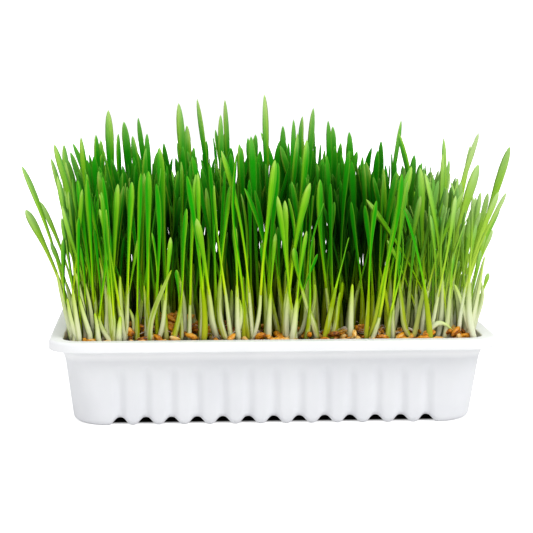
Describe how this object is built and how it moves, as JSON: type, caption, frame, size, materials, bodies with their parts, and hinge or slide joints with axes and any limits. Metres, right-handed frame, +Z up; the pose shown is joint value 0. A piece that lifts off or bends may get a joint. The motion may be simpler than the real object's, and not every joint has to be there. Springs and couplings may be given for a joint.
{
  "type": "wheatgrass tray",
  "caption": "Shallow fluted white plastic tray filled with growing medium, sprouted grains and a dense upright sward of young wheatgrass that fans out at its ends.",
  "frame": {"origin": "centre of the bounding box's bottom, on the surface the tray stands on", "axes": "+X along the tray, the longest extent; +Y from the tray's front long wall to its back one; +Z up, -Z out of the base"},
  "size_m": [0.281, 0.18, 0.182],
  "materials": {
    "tray_plastic": "thin formed plastic, satin white",
    "growing_medium": "dark moist fibrous growing medium",
    "seedling_leaf": "thin fresh leaf, pale at the sheath and bright green above",
    "grain_husk": "dry golden husk"
  },
  "bodies": {
    "root": {"tray": "tray_plastic", "soil": "growing_medium", "seedlings_row_1": "seedling_leaf", "seedlings_row_2": "seedling_leaf", "seedlings_row_3": "seedling_leaf", "seedlings_row_4": "seedling_leaf", "seedlings_row_5": "seedling_leaf", "seedlings_row_6": "seedling_leaf", "seedlings_row_7": "seedling_leaf", "seedlings_row_8": "seedling_leaf", "seedlings_row_9": "seedling_leaf", "grains_strip_1": "grain_husk", "grains_strip_2": "grain_husk", "grains_strip_3": "grain_husk", "grains_strip_4": "grain_husk", "grains_strip_5": "grain_husk", "grains_strip_6": "grain_husk", "grains_strip_7": "grain_husk", "grains_strip_8": "grain_husk", "grains_strip_9": "grain_husk", "grains_strip_10": "grain_husk"}
  },
  "joints": []
}
